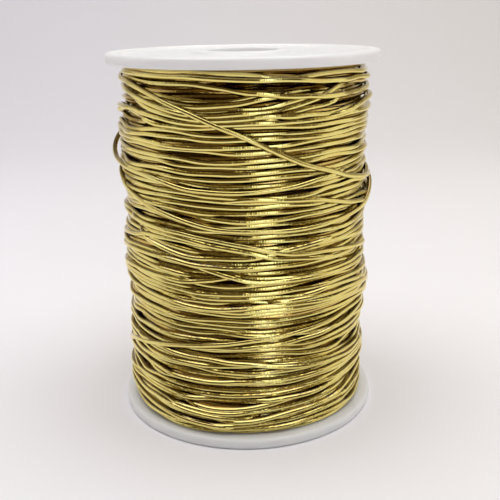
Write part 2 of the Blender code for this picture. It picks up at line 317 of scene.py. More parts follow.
# How the turns are laid
ROW_STEP = 0.1
UNDER_PITCH = 1.32
UNDER_WANDER = 0.5
BASE_DEPTH = 3.35
INNER_DEPTH = BASE_DEPTH + 1.4
INNER_SIDES = 64
END_ROOM = 0.62
CONTACT = 0.85
PROUD_LIMIT = 0.35
PROUD_SHARE = 0.35
SUNK_UNDER = 3.0
SUNK_TOP = 0.6
SUNK_CROSSING = 0.3
FIRST_SETTLE = 0.30
CROSSING_SETTLE = 0.1
SETTLE_TRIES = 9
SETTLE_COST = 1.2
SETTLE_DEGREES = 11
REST_DEGREES = 5
UNDER_WAVES = (1, 2, 3, 4)
BUNCH_WAVES = (2, 3, 4)
STRAY_WAVES = (2, 3, 5, 7)
QUICK_WAVES = (9, 13)
QUICK_SHARE = 5
CLOSENESS = 0.46
CLOSENESS_SWAY = 0.07
CLOSEST = 0.34
LOOSEST = 0.52
HOLLOW_PUSH = 1.6
HOLLOW_DIP = 1.8
TAUT_ROUNDS = 140
TUCK_DEGREES = 7.0
TUCK_DEPTH = 1.7
JOIN_DEGREES = 18
JOIN_DEPTH = 0.3
STEP_START = 100
STEP_SPAN = 160
PASSES = 3

# Degrees to each step along a turn, and how round its tube is
UNDER_DETAIL = (4, 2)
TOP_DETAIL = (3, 3)
CROSSING_DETAIL = (2, 4)

# Seeds of the chance in the under layers and in the top turns
UNDER_SEED = 26
TOP_SEED = 7

# Each light's power setting, size, place and colour
LIGHTS = {
    "window_left": ("left_light", (0.7, 0.7), (-0.80, 0.12, 0.32), (0.97, 0.97, 1.0)),
    "window_right": ("right_light", (0.7, 0.7), (0.80, 0.04, 0.30), (1.0, 0.98, 0.95)),
    "overhead": ("top_light", (0.9, 0.6), (0.0, 0.0, 0.68), (1.0, 1.0, 1.0)),
    "front_window": ("front_light", (0.19, 0.34), (0.20, -0.58, 0.27), (0.80, 0.86, 1.0)),
}
ROOM_COLOUR = (1.0, 0.74, 0.46, 1.0)

# The backdrop, and the camera's turn in degrees and place in flange radii
PAPER_SIZE = 2.4
PAPER_FORWARD = 0.5
PAPER_HEIGHT = 1.6
PAPER_BEND = 0.35
PAPER_BEND_STEPS = 16
SENSOR_WIDTH = 36
NEAREST = 0.01
FARTHEST = 20
CAMERA_PITCH = 17.41
CAMERA_ROLL = 0.894
CAMERA_PLACE = (0.0312, -5.7673, 2.9966)

# The winding as laid so far, shared by the steps below
on_reel = {}


def colour_setting(name, description, default):
    return FloatVectorProperty(
        name=name, description=description, subtype="COLOR", size=3, default=default, min=0, max=1)


def length_setting(name, description, default, least, most):
    return FloatProperty(
        name=name, description=description, default=default * MM, min=least * MM, max=most * MM,
        unit="LENGTH")


def power_setting(name, description, default):
    return FloatProperty(name=name, description=description, default=default, min=0, subtype="POWER")


class CordSettings(bpy.types.PropertyGroup):
    diameter: length_setting("Cord diameter", "Thickness of the elastic cord", 1.2, 0.5, 3)
    rib_pitch: length_setting("Rib pitch", "Distance between the fine ribs of the foil wrap", 0.34, 0.1, 2)
    wander: length_setting("Wander", "How far a turn strays from its bunch", 0.20, 0.0, 1)
    gold: colour_setting("Gold", "The foil's main colour", (0.79, 0.605, 0.15))
    pale_gold: colour_setting("Pale gold", "The foil's lighter streaks", (0.86, 0.775, 0.24))
    # Painted shade: the same foil darkened to amber for the shade between the top turns
    under_shade_amber: colour_setting("Amber", "The foil of the under layers", (0.62, 0.40, 0.09))
    # Painted shade: a darkened copy of the gold for the shade far down in the winding and between turns
    painted_shade_gold: colour_setting("Deep gold", "The turns far down in the winding", (0.34, 0.19, 0.04))


class ReelSettings(bpy.types.PropertyGroup):
    sides: IntProperty(
        name="Flange sides", description="Steps around each flange", default=128, min=24, max=256)
    rim_round: length_setting("Rim rounding", "Radius of the flange's outer edges", 0.7, 0.1, 1.2)
    plastic: colour_setting("Plastic", "Colour of the moulded reel", (0.89, 0.885, 0.87))


class StageSettings(bpy.types.PropertyGroup):
    # Painted light: the paper's cool left and warm right stand for the tints of the side windows
    paper: colour_setting("Paper", "Colour of the floor and backdrop, left", (0.915, 0.91, 0.985))
    warm_lit_paper: colour_setting("Warm paper", "Colour of the floor and backdrop, right", (0.92, 0.90, 0.875))
    focal_length: FloatProperty(
        name="Focal length", description="Lens of the camera on a 36 mm wide sensor, in mm", default=54.78,
        min=10, max=300)
    left_light: power_setting("Left light", "Power of the window at the left", 1.05)
    right_light: power_setting("Right light", "Power of the window at the right", 1.2)
    top_light: power_setting("Top light", "Power of the light overhead", 4.9)
    front_light: power_setting("Front light", "Power of the small window in front", 0.52)
    room_light: FloatProperty(
        name="Room light", description="Brightness of the room all around", default=0.10, min=0)


def deselect_all():
    if bpy.context.object is not None and bpy.context.object.mode != "OBJECT":
        bpy.ops.object.mode_set(mode="OBJECT")
    bpy.ops.object.select_all(action="DESELECT")


def finish_piece(piece, name, material, material_slot, *nodes):
    """Names a finished piece, puts its place in its mesh and sets it on the part in place of its nodes."""
    deselect_all()
    piece.select_set(True)
    bpy.context.view_layer.objects.active = piece
    bpy.ops.object.transform_apply(location=True, rotation=True, scale=True)
    bpy.ops.object.shade_smooth_by_angle(angle=math.radians(SMOOTH_ANGLE))
    piece.name = name
    piece.data.name = name
    piece.data.materials.clear()
    piece.data.materials.append(material)
    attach(piece, "root")
    if nodes:
        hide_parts(*nodes)
    deselect_all()
    return piece


def new_group(name, source, numbers, *results):
    """A shader node group with a vector and named numbers as inputs, and its input and output nodes."""
    group = bpy.data.node_groups.new(name, "ShaderNodeTree")
    group.interface.new_socket(name=source, in_out="INPUT", socket_type="NodeSocketVector")
    for label, value in numbers.items():
        socket = group.interface.new_socket(name=label, in_out="INPUT", socket_type="NodeSocketFloat")
        socket.default_value = value
    for label in results:
        group.interface.new_socket(name=label, in_out="OUTPUT", socket_type="NodeSocketFloat")
    return group, group.nodes.new("NodeGroupInput"), group.nodes.new("NodeGroupOutput")


def math_node(tree, operation, first, second=None, third=None):
    """A Math node fed by sockets or plain numbers; gives back its output."""
    node = tree.nodes.new("ShaderNodeMath")
    node.operation = operation
    for socket, value in zip(node.inputs, (first, second, third)):
        if isinstance(value, bpy.types.NodeSocket):
            tree.links.new(value, socket)
        elif value is not None:
            socket.default_value = value
    return node.outputs[0]


def uneven_tone_group():
    """Soft patches at one scale with finer ones in them, as a mask from 0 to 1."""
    group, given, result = new_group("uneven_tone", "Vector", {"Scale": 100.0, "Contrast": 1.0}, "Mask")
    noise = group.nodes.new("ShaderNodeTexNoise")
    noise.inputs["Detail"].default_value = 3.0
    noise.inputs["Roughness"].default_value = 0.6
    group.links.new(given.outputs["Vector"], noise.inputs["Vector"])
    group.links.new(given.outputs["Scale"], noise.inputs["Scale"])
    centred = math_node(group, "SUBTRACT", noise.outputs["Fac"], 0.5)
    spread = math_node(group, "MULTIPLY", centred, given.outputs["Contrast"])
    mask = math_node(group, "ADD", spread, 0.5)
    group.nodes[-1].use_clamp = True
    group.links.new(mask, result.inputs["Mask"])
    return group


def foil_wrap_group():
    """Fine foil ribs across a cord whose UV runs along it in metres and once around it.

    Height is the rib's relief, and Glint is a value that changes from rib to rib.
    """
    ribs = {"Ribs per metre": 3000.0, "Lean": 1.0}
    group, given, result = new_group("foil_wrap", "UV", ribs, "Height", "Glint")
    split = group.nodes.new("ShaderNodeSeparateXYZ")
    group.links.new(given.outputs["UV"], split.inputs[0])
    along = math_node(group, "MULTIPLY", split.outputs["X"], given.outputs["Ribs per metre"])
    around = math_node(group, "MULTIPLY", split.outputs["Y"], given.outputs["Lean"])
    count = math_node(group, "ADD", along, around)
    wave = math_node(group, "SINE", math_node(group, "MULTIPLY", count, 2 * math.pi))
    relief = math_node(group, "MULTIPLY_ADD", wave, 0.5, 0.5)
    number = math_node(group, "FLOOR", count)
    chance = group.nodes.new("ShaderNodeTexWhiteNoise")
    chance.noise_dimensions = "1D"
    group.links.new(number, chance.inputs["W"])
    group.links.new(relief, result.inputs["Height"])
    group.links.new(chance.outputs["Value"], result.inputs["Glint"])
    return group


def painted_gap_shade_group():
    """Painted shade on a cord's sides that lie against its neighbours; the UV's outward side is at one
    half.
    """
    group, given, result = new_group("pressed_sides", "UV", {"Clear": 0.6, "Pressed": 0.1}, "Mask")
    split = group.nodes.new("ShaderNodeSeparateXYZ")
    group.links.new(given.outputs["UV"], split.inputs[0])
    turned = math_node(group, "MULTIPLY_ADD", split.outputs["Y"], 2 * math.pi, math.pi)
    facing = math_node(group, "COSINE", turned)
    edge = group.nodes.new("ShaderNodeMapRange")
    edge.interpolation_type = "SMOOTHSTEP"
    group.links.new(facing, edge.inputs["Value"])
    group.links.new(given.outputs["Clear"], edge.inputs["From Min"])
    group.links.new(given.outputs["Pressed"], edge.inputs["From Max"])
    group.links.new(edge.outputs["Result"], result.inputs["Mask"])
    return group


def sunk_depth_group():
    """How deep a place lies in the winding, from 0 at its outside to 1 far down."""
    group, given, result = new_group("sunk_depth", "Vector", {"Outside": 0.03, "Deep": 0.027}, "Mask")
    split = group.nodes.new("ShaderNodeSeparateXYZ")
    group.links.new(given.outputs["Vector"], split.inputs[0])
    squared = math_node(group, "MULTIPLY", split.outputs["X"], split.outputs["X"])
    squared = math_node(group, "MULTIPLY_ADD", split.outputs["Y"], split.outputs["Y"], squared)
    radius = math_node(group, "SQRT", squared)
    depth = group.nodes.new("ShaderNodeMapRange")
    group.links.new(radius, depth.inputs["Value"])
    group.links.new(given.outputs["Outside"], depth.inputs["From Min"])
    group.links.new(given.outputs["Deep"], depth.inputs["From Max"])
    group.links.new(depth.outputs["Result"], result.inputs["Mask"])
    return group


def placed_group(tree, group, source, **values):
    """A shared node group set in a material, its first input fed by the source."""
    node = tree.nodes.new("ShaderNodeGroup")
    node.node_tree = group
    tree.links.new(source, node.inputs[0])
    for label, value in values.items():
        node.inputs[label.replace("_", " ")].default_value = value
    return node


def new_material(name):
    material = bpy.data.materials.new(name)
    material.use_nodes = True
    shader = material.node_tree.nodes["Principled BSDF"]
    return material, material.node_tree, shader


def mixed_colour(tree, factor, first, second):
    """A colour between two, by a changing factor; gives back the output."""
    mix = tree.nodes.new("ShaderNodeMix")
    mix.data_type = "RGBA"
    tree.links.new(factor, mix.inputs["Factor"])
    for socket, value in ((mix.inputs["A"], first), (mix.inputs["B"], second)):
        if isinstance(value, bpy.types.NodeSocket):
            tree.links.new(value, socket)
        else:
            socket.default_value = (*value, 1.0)
    return mix.outputs["Result"]


def bumped(tree, shader, height, distance, strength):
    bump = tree.nodes.new("ShaderNodeBump")
    bump.inputs["Distance"].default_value = distance
    bump.inputs["Strength"].default_value = strength
    tree.links.new(height, bump.inputs["Height"])
    tree.links.new(bump.outputs["Normal"], shader.inputs["Normal"])


def gold_foil_material(settings, name, gold, pale):
    """Metallic foil wrapped around the elastic: fine ribs, paler and deeper stretches, small glints,
    painted shade in the gaps and far down.
    """
    if name in bpy.data.materials:
        return bpy.data.materials[name]
    groups = shared_groups()
    material, tree, shader = new_material(name)
    shader.inputs["Metallic"].default_value = 1.0
    shader.inputs["Specular Tint"].default_value = (1.0, 0.88, 0.45, 1.0)
    shader.inputs["Coat Weight"].default_value = 1.0
    shader.inputs["Coat Roughness"].default_value = 0.08
    uv_map = tree.nodes.new("ShaderNodeUVMap")
    uv_map.uv_map = "along_cord"
    uv = uv_map.outputs["UV"]
    place = tree.nodes.new("ShaderNodeTexCoord").outputs["Object"]
    mapping = tree.nodes.new("ShaderNodeMapping")
    mapping.inputs["Scale"].default_value = (1.0, math.pi * settings.diameter, 1.0)
    tree.links.new(uv, mapping.inputs["Vector"])
    true_size = mapping.outputs["Vector"]
    foil = placed_group(tree, groups["foil_wrap"], uv, Ribs_per_metre=1 / settings.rib_pitch, Lean=1.0)
    stretch = placed_group(tree, groups["uneven_tone"], true_size, Scale=110.0, Contrast=2.2)
    ripple = placed_group(tree, groups["uneven_tone"], true_size, Scale=260.0, Contrast=1.5)
    patch = placed_group(tree, groups["uneven_tone"], place, Scale=420.0, Contrast=2.0)
    # Painted shade: sides against neighbouring turns and places far down in the winding darken towards the
    # painted shade gold
    sides = placed_group(tree, groups["pressed_sides"], uv, Clear=0.90, Pressed=0.45)
    depth = placed_group(tree, groups["sunk_depth"], place, Outside=29.2 * MM, Deep=25.2 * MM)
    worn = mixed_colour(tree, stretch.outputs["Mask"], gold, pale)
    glint = math_node(tree, "MULTIPLY", foil.outputs["Glint"], GLINT_PALENESS)
    shining = mixed_colour(tree, glint, worn, pale)
    gap_shade_share = math_node(tree, "MULTIPLY", sides.outputs["Mask"], SIDE_SHADE)
    depth_shade_share = math_node(tree, "MULTIPLY", depth.outputs["Mask"], DEPTH_SHADE)
    shadowed = math_node(tree, "MAXIMUM", gap_shade_share, depth_shade_share)
    darkest = [value * DARKEST_SHADE for value in settings.painted_shade_gold]
    final = mixed_colour(tree, shadowed, shining, darkest)
    tree.links.new(final, shader.inputs["Base Color"])
    rough = math_node(tree, "MULTIPLY_ADD", patch.outputs["Mask"], 0.10, 0.07)
    rough = math_node(tree, "MULTIPLY_ADD", foil.outputs["Glint"], 0.04, rough)
    tree.links.new(rough, shader.inputs["Roughness"])
    ribs = math_node(tree, "MULTIPLY_ADD", foil.outputs["Glint"], GLINT_RELIEF, foil.outputs["Height"])
    height = math_node(tree, "MULTIPLY_ADD", ripple.outputs["Mask"], RIPPLE_RELIEF, ribs)
    bumped(tree, shader, height, 0.010 * MM, 0.8)
    return material


def deep_turns_material(settings):
    """The body of turns under the ones that show, dark with painted shade."""
    groups = shared_groups()
    material, tree, shader = new_material("deep_turns")
    shader.inputs["Metallic"].default_value = 0.8
    place = tree.nodes.new("ShaderNodeTexCoord").outputs["Object"]
    patch = placed_group(tree, groups["uneven_tone"], place, Scale=500.0, Contrast=2.0)
    darker = [value * 0.6 for value in settings.painted_shade_gold]
    tree.links.new(mixed_colour(tree, patch.outputs["Mask"], darker, settings.painted_shade_gold),
                   shader.inputs["Base Color"])
    rough = math_node(tree, "MULTIPLY_ADD", patch.outputs["Mask"], 0.2, 0.45)
    tree.links.new(rough, shader.inputs["Roughness"])
    return material


def moulded_plastic_material(name, colour, gloss_roughness):
    """White moulded plastic with a soft sheen, faint clouding and fine handling marks."""
    groups = shared_groups()
    material, tree, shader = new_material(name)
    shader.inputs["IOR"].default_value = 1.5
    shader.inputs["Subsurface Weight"].default_value = 0.7
    shader.inputs["Subsurface Radius"].default_value = (1.0, 0.9, 0.9)
    shader.inputs["Subsurface Scale"].default_value = 4 * MM
    place = tree.nodes.new("ShaderNodeTexCoord").outputs["Object"]
    cloud = placed_group(tree, groups["uneven_tone"], place, Scale=45.0, Contrast=1.6)
    grain = placed_group(tree, groups["uneven_tone"], place, Scale=2600.0, Contrast=1.4)
    cool = [colour[0] * COOL_SHADE, colour[1] * COOL_SHADE, colour[2]]
    tree.links.new(mixed_colour(tree, cloud.outputs["Mask"], cool, colour), shader.inputs["Base Color"])
    rough = math_node(tree, "MULTIPLY_ADD", cloud.outputs["Mask"], 0.10, gloss_roughness)
    rough = math_node(tree, "MULTIPLY_ADD", grain.outputs["Mask"], 0.06, rough)
    tree.links.new(rough, shader.inputs["Roughness"])
    bumped(tree, shader, grain.outputs["Mask"], 0.01 * MM, 0.25)
    return material


def paper_material(cool, warm):
    """Matt paper that turns from a cool white at the left to a warm one at the right: painted light for the
    side windows' tints.
    """
    groups = shared_groups()
    material, tree, shader = new_material("backdrop_paper")
    place = tree.nodes.new("ShaderNodeTexCoord").outputs["Object"]
    split = tree.nodes.new("ShaderNodeSeparateXYZ")
    tree.links.new(place, split.inputs[0])
    across = tree.nodes.new("ShaderNodeMapRange")
    across.inputs["From Min"].default_value = -0.3
    across.inputs["From Max"].default_value = 0.3
    tree.links.new(split.outputs["X"], across.inputs["Value"])
    cloud = placed_group(tree, groups["uneven_tone"], place, Scale=3.0, Contrast=1.0)
    plain = mixed_colour(tree, across.outputs["Result"], cool, warm)
    shaded = mixed_colour(tree, across.outputs["Result"], [value * 0.98 for value in cool],
                          [value * 0.98 for value in warm])
    tree.links.new(mixed_colour(tree, cloud.outputs["Mask"], shaded, plain), shader.inputs["Base Color"])
    shader.inputs["Roughness"].default_value = 0.7
    return material


def shared_groups():
    """The node groups that the materials share, built once."""
    makers = {
        "uneven_tone": uneven_tone_group,
        "foil_wrap": foil_wrap_group,
        "pressed_sides": painted_gap_shade_group,
        "sunk_depth": sunk_depth_group,
    }
    for name, make in makers.items():
        if name not in bpy.data.node_groups:
            make()
    return {name: bpy.data.node_groups[name] for name in makers}


def select_rings(mesh, rings, tolerance=0.02 * MM):
    """Selects the edges that run around the reel at the given radii and heights."""
    bpy.ops.mesh.select_mode(type="EDGE")
    bpy.ops.mesh.select_all(action="DESELECT")
    bpy.ops.object.mode_set(mode="OBJECT")
    for edge in mesh.edges:
        ends = [mesh.vertices[index].co for index in edge.vertices]
        for radius, height in rings:
            if all(abs(math.hypot(end.x, end.y) - radius) < tolerance for end in ends) and all(
                    abs(end.z - height) < tolerance for end in ends):
                edge.select = True
    bpy.ops.object.mode_set(mode="EDIT")


def drawn_out_ring(section, sides):
    """A closed ring of the given section: a circle drawn out from point to point and joined to itself."""
    deselect_all()
    first_radius, first_height = section[0]
    bpy.ops.mesh.primitive_circle_add(vertices=sides, radius=first_radius, location=(0, 0, 0))
    piece = bpy.context.object
    bpy.ops.object.mode_set(mode="EDIT")
    bpy.ops.mesh.select_all(action="SELECT")
    bpy.ops.transform.translate(value=(0, 0, first_height))
    for (radius, height), (next_radius, next_height) in zip(section, section[1:] + section[:1]):
        bpy.ops.mesh.extrude_edges_move(TRANSFORM_OT_translate={"value": (0, 0, next_height - height)})
        growth = next_radius / radius
        bpy.ops.transform.resize(value=(growth, growth, 1), center_override=(0, 0, 0))
    bpy.ops.mesh.select_all(action="SELECT")
    bpy.ops.mesh.remove_doubles(threshold=MERGE_DISTANCE)
    bpy.ops.mesh.normals_make_consistent(inside=False)
    return piece


def flange_section():
    """The lower flange's section: hub ring, recess, raised lip, rim, inner face and spigot."""
    hub_outer = BORE_RADIUS + HUB_WIDTH
    lip_inner = FLANGE_RADIUS - LIP_WIDTH
    spigot_outer = TUBE_RADIUS - TUBE_WALL - FIT_GAP
    spigot_top = FLANGE_THICKNESS + SPIGOT_LENGTH
    return [
        (BORE_RADIUS, 0.0),
        (hub_outer, 0.0),
        (hub_outer + RECESS_SLOPE, RECESS_DEPTH),
        (lip_inner - RECESS_SLOPE, RECESS_DEPTH),
        (lip_inner, 0.0),
        (FLANGE_RADIUS, 0.0),
        (FLANGE_RADIUS, FLANGE_THICKNESS),
        (spigot_outer, FLANGE_THICKNESS),
        (spigot_outer, spigot_top),
        (BORE_RADIUS, spigot_top),
    ]


def moulded_flange(settings):
    """One flange as moulded, foot down, with its rim well rounded and its small edges softened."""
    section = flange_section()
    piece = drawn_out_ring(section, settings.sides)
    rim = [ring for ring in section if ring[0] == FLANGE_RADIUS]
    select_rings(piece.data, rim)
    bpy.ops.mesh.bevel(offset=settings.rim_round, offset_type="OFFSET", segments=RIM_STEPS, affect="EDGES")
    small_edges = [ring for ring in section if ring not in rim and ring[1] != FLANGE_THICKNESS]
    select_rings(piece.data, small_edges)
    bpy.ops.mesh.bevel(offset=EDGE_ROUND, offset_type="OFFSET", segments=EDGE_STEPS, affect="EDGES")
    bpy.ops.object.mode_set(mode="OBJECT")
    return piece


def smooth_between(knots, values, at):
    """A smooth curve through the values at the knots, with slopes taken from each knot's neighbours."""
    knots = np.asarray(knots, float)
    values = np.asarray(values, float)
    at = np.clip(at, knots[0], knots[-1])
    slopes = np.gradient(values, knots)
    index = np.clip(np.searchsorted(knots, at, side="right") - 1, 0, len(knots) - 2)
    span = knots[index + 1] - knots[index]
    t = (at - knots[index]) / span
    start = values[index] * (2 * t**3 - 3 * t**2 + 1) + slopes[index] * span * (t**3 - 2 * t**2 + t)
    end = values[index + 1] * (3 * t**2 - 2 * t**3) + slopes[index + 1] * span * (t**3 - t**2)
    return start + end


def around_reel(front, back, angles):
    """A height read at the front and back angles, made one smooth closed line around the reel."""
    knots = list(FRONT_ANGLES) + list(BACK_ANGLES)
    values = list(front) + list(back)
    all_knots = [k - FULL_TURN for k in knots] + knots + [k + FULL_TURN for k in knots]
    return smooth_between(all_knots, values * 3, np.asarray(angles, float) % FULL_TURN)


def barrel_radius(angles, heights):
    """The winding's nominal outer radius in mm at places around the reel and up it."""
    known_heights, left, right = zip(*BARREL)
    left = smooth_between(known_heights, left, heights)
    right = smooth_between(known_heights, right, heights)
    return (left + right) / 2 + (right - left) / 2 * np.sin(np.radians(angles))


def swayed_lines(rows, angles):
    """One closed line around the reel for each row of front heights, swaying at the back."""
    lines = []
    for number, front in enumerate(rows):
        middle = (front[0] + front[-1]) / 2
        back = []
        for phase in BACK_SWAY_PHASES:
            back.append(middle + BACK_SWAY * math.sin(BACK_SWAY_STEP * number + phase))
        lines.append(around_reel(front, back, angles))
    return np.array(lines)


def rounded_noise(rng, angles, waves, size):
    """A gentle closed wave around the reel, made of a few sines of chance size and phase."""
    total = np.zeros(len(angles))
    turned = np.radians(angles)
    for wave in waves:
        total += rng.normal() * np.sin(wave * turned + rng.uniform(0, 2 * math.pi)) / math.sqrt(len(waves))
    return total * size


def apart_from_hollows(angles, heights):
    """How far a turn around the whole reel is pushed up or down by the hollows that it passes."""
    push = np.zeros_like(heights)
    for angle, height, half_width, half_height, _ in HOLLOWS:
        across = (angles - angle + HALF_TURN) % FULL_TURN - HALF_TURN
        fade = np.exp(-(across / half_width) ** 2)
        side = 1 if heights[angle % FULL_TURN] > height else -1
        clear = side * (heights - height)
        needed = half_height * np.exp(-(np.maximum(clear, 0) / (half_height * HOLLOW_PUSH)) ** 2)
        push += side * fade * (needed + np.clip(-clear, 0, half_height))
    return push


class Winding:
    """What has been wound so far: its radius in mm at each degree around the reel and each row up it."""

    def __init__(self, cord_radius):
        self.thickness = cord_radius
        self.cord = cord_radius * CONTACT
        self.rows = np.arange(WINDING_LOW / MM, WINDING_HIGH / MM + ROW_STEP / 2, ROW_STEP)
        self.degrees = np.arange(FULL_TURN)
        self.low = self.rows[0] - FIT_GAP / MM + END_ROOM
        self.high = self.rows[-1] + FIT_GAP / MM - END_ROOM
        base = barrel_radius(self.degrees[:, None], self.rows[None]) - BASE_DEPTH
        for angle, height, half_width, half_height, depth in HOLLOWS:
            across = (self.degrees - angle + HALF_TURN) % FULL_TURN - HALF_TURN
            dip = np.exp(-(across / half_width) ** 2)[:, None]
            base -= depth * dip * np.exp(-((self.rows - height) / (half_height * HOLLOW_DIP)) ** 2)[None]
        self.surface = base
        self.laid = []

    def touched(self, heights):
        """The rows under a cord at each height, how far its side reaches there, and whether it does."""
        reach = int(math.ceil(self.cord / ROW_STEP))
        middle = np.rint((heights - self.rows[0]) / ROW_STEP).astype(int)
        rows = np.clip(middle[:, None] + np.arange(-reach, reach + 1)[None], 0, len(self.rows) - 1)
        away = self.rows[rows] - heights[:, None]
        side = np.sqrt(np.clip(self.cord**2 - away**2, 0, None))
        return rows, side, np.abs(away) <= self.cord

    def resting(self, angles, heights):
        """The radius at which a cord's middle comes to rest at each place."""
        rows, side, inside = self.touched(heights)
        under = self.surface[np.mod(angles, FULL_TURN)[:, None], rows]
        return np.where(inside, under + side, 0).max(axis=1)

    def settled(self, angles, heights, reach):
        """The heights moved a little towards the valleys that lie beside them."""
        shifts = np.linspace(-reach, reach, SETTLE_TRIES)
        costs = [self.resting(angles, heights + shift) + SETTLE_COST * shift**2 for shift in shifts]
        chosen = shifts[np.argmin(costs, axis=0)]
        return heights + softened(chosen, SETTLE_DEGREES)

    def nearest_laid(self, angle, height):
        """The laid run that passes nearest to a place: its heights and radii, and its step there."""
        found = []
        for number, (angles, heights, radii) in enumerate(self.laid):
            inner = slice(JOIN_DEGREES, len(angles) - JOIN_DEGREES)
            here = np.nonzero((angles[inner] - angle) % FULL_TURN == 0)[0] + JOIN_DEGREES
            found.extend((abs(heights[step] - height), number, step) for step in here)
        away, number, step = min(found)
        return self.laid[number][1], self.laid[number][2], step

    def drawn_under(self, angles, heights, radii):
        """Both ends of a turn led into the turns that run beside them, so that no end shows."""
        reach = np.arange(JOIN_DEGREES)
        share = eased(1 - reach / JOIN_DEGREES)
        for end, own, along in ((0, reach, reach), (-1, -1 - reach, -reach)):
            run_heights, run_radii, step = self.nearest_laid(angles[end], heights[end])
            heights[own] += (run_heights[step + along] - heights[own]) * share
            radii[own] += (run_radii[step + along] - JOIN_DEPTH - radii[own]) * share
        return heights, radii

    def lay(self, angles, heights, settle, sunk, slack=TAUT, ends_under=False):
        """Lays one stretch of cord, a step each degree; gives its heights and the radii of its middle."""
        heights = np.clip(self.settled(angles, heights, settle), self.low, self.high)
        radii = softened(pulled_tight(self.resting(angles, heights)), REST_DEGREES)
        flush = barrel_radius(angles, heights) - self.thickness
        radii = np.maximum(radii, flush - sunk)
        proud = flush + PROUD_LIMIT
        radii = np.minimum(radii, proud) + PROUD_SHARE * np.maximum(radii - proud, 0)
        stand_off, loosest, half_width = slack
        radii = radii + stand_off * np.exp(-((angles - loosest) / half_width) ** 2)
        if ends_under:
            heights, radii = self.drawn_under(angles, heights, radii)
        else:
            self.laid.append((angles, heights, radii))
        rows, side, inside = self.touched(heights)
        top = np.where(inside, radii[:, None] + side, 0)
        np.maximum.at(self.surface, (np.mod(angles, FULL_TURN)[:, None], rows), top)
        return heights, radii


def softened(values, width):
    """A moving average that keeps the ends."""
    padded = np.pad(values, width // 2, mode="edge")
    return np.convolve(padded, np.ones(width) / width, mode="valid")


def pulled_tight(radii):
    """The cord drawn straight over hollows, so that it touches only what stands out under it."""
    inverse = 1 / radii
    straight = 2 * math.cos(math.radians(1))
    for _ in range(TAUT_ROUNDS):
        inverse[1:-1] = np.minimum(inverse[1:-1], (inverse[:-2] + inverse[2:]) / straight)
    return 1 / inverse


def eased(share):
    share = np.clip(share, 0, 1)
    return share * share * (3 - 2 * share)


def one_pass(lines, order):
    """Angles and heights of one run of cord that follows the lines in order, stepping over at the back."""
    angles = []
    heights = []
    local = np.arange(-HALF_TURN, HALF_TURN)
    for place, number in enumerate(order):
        before = order[max(place - 1, 0)]
        after = order[min(place + 1, len(order) - 1)]
        own = lines[number][local % FULL_TURN]
        coming = eased((local + FULL_TURN - STEP_START) / STEP_SPAN)
        going = eased((local - STEP_START) / STEP_SPAN)
        line = np.where(local < 0, lines[before][local % FULL_TURN] * (1 - coming) + own * coming, own)
        line = np.where(local > 0, line * (1 - going) + lines[after][local % FULL_TURN] * going, line)
        angles.append(local + place * FULL_TURN)
        heights.append(line)
    return np.concatenate(angles), np.concatenate(heights)


def tucked_in(angles, radii):
    """The radii of a long run with its first and last degrees pushed down between the turns."""
    from_end = np.minimum(angles - angles[0], angles[-1] - angles)
    return radii - TUCK_DEPTH * eased(1 - from_end / TUCK_DEGREES)


def cord_points(angles, heights, radii, step):
    """Points in metres along a run of cord."""
    keep = np.unique(np.append(np.arange(0, len(angles), step), len(angles) - 1))
    turned = np.radians(angles[keep])
    around = radii[keep] * MM
    return np.column_stack([around * np.sin(turned), -around * np.cos(turned), heights[keep] * MM])


def cord_tube(name, runs, cord_radius, roundness, material):
    """Runs of cord as round tubes in one piece, with a UV map that runs along each in metres."""
    made = []
    start = 0.0
    for points in runs:
        deselect_all()
        bpy.ops.curve.primitive_nurbs_path_add()
        path = bpy.context.object
        path.data.splines.clear()
        spline = path.data.splines.new("POLY")
        spline.points.add(len(points) - 1)
        spline.points.foreach_set("co", np.column_stack([points, np.ones(len(points))]).ravel())
        path.data.dimensions = "3D"
        path.data.twist_mode = "Z_UP"
        path.data.bevel_depth = cord_radius
        path.data.bevel_resolution = roundness
        path.data.use_fill_caps = True
        spline.use_smooth = True
        bpy.ops.object.convert(target="MESH")
        tube = bpy.context.object
        length = np.linalg.norm(np.diff(points, axis=0), axis=1).sum()
        stretch_uv(tube.data, start, length, 4 + 2 * roundness)
        start += length
        made.append(tube)
    deselect_all()
    for tube in made:
        tube.select_set(True)
    bpy.context.view_layer.objects.active = made[0]
    if len(made) > 1:
        bpy.ops.object.join()
    return finish_piece(bpy.context.object, name, material, "gold_cord", "winding")


def stretch_uv(mesh, start, length, sides):
    """Names the tube's UV map, runs it along in metres and sets its outward side at one half."""
    layer = mesh.uv_layers[0]
    layer.name = "along_cord"
    values = np.zeros(len(mesh.loops) * 2, np.float32)
    layer.uv.foreach_get("vector", values)
    values = values.reshape(-1, 2)
    values[:, 0] = start + values[:, 0] * length
    values[:, 1] += 1 / sides
    layer.uv.foreach_set("vector", values.ravel())


def under_lines(rng, count, degrees, low, high, wander):
    """Evenly spaced lines around the reel, each wandering by itself."""
    lines = []
    for height in np.linspace(low, high, count):
        lines.append(height + rounded_noise(rng, degrees, UNDER_WAVES, wander))
    return np.array(lines)


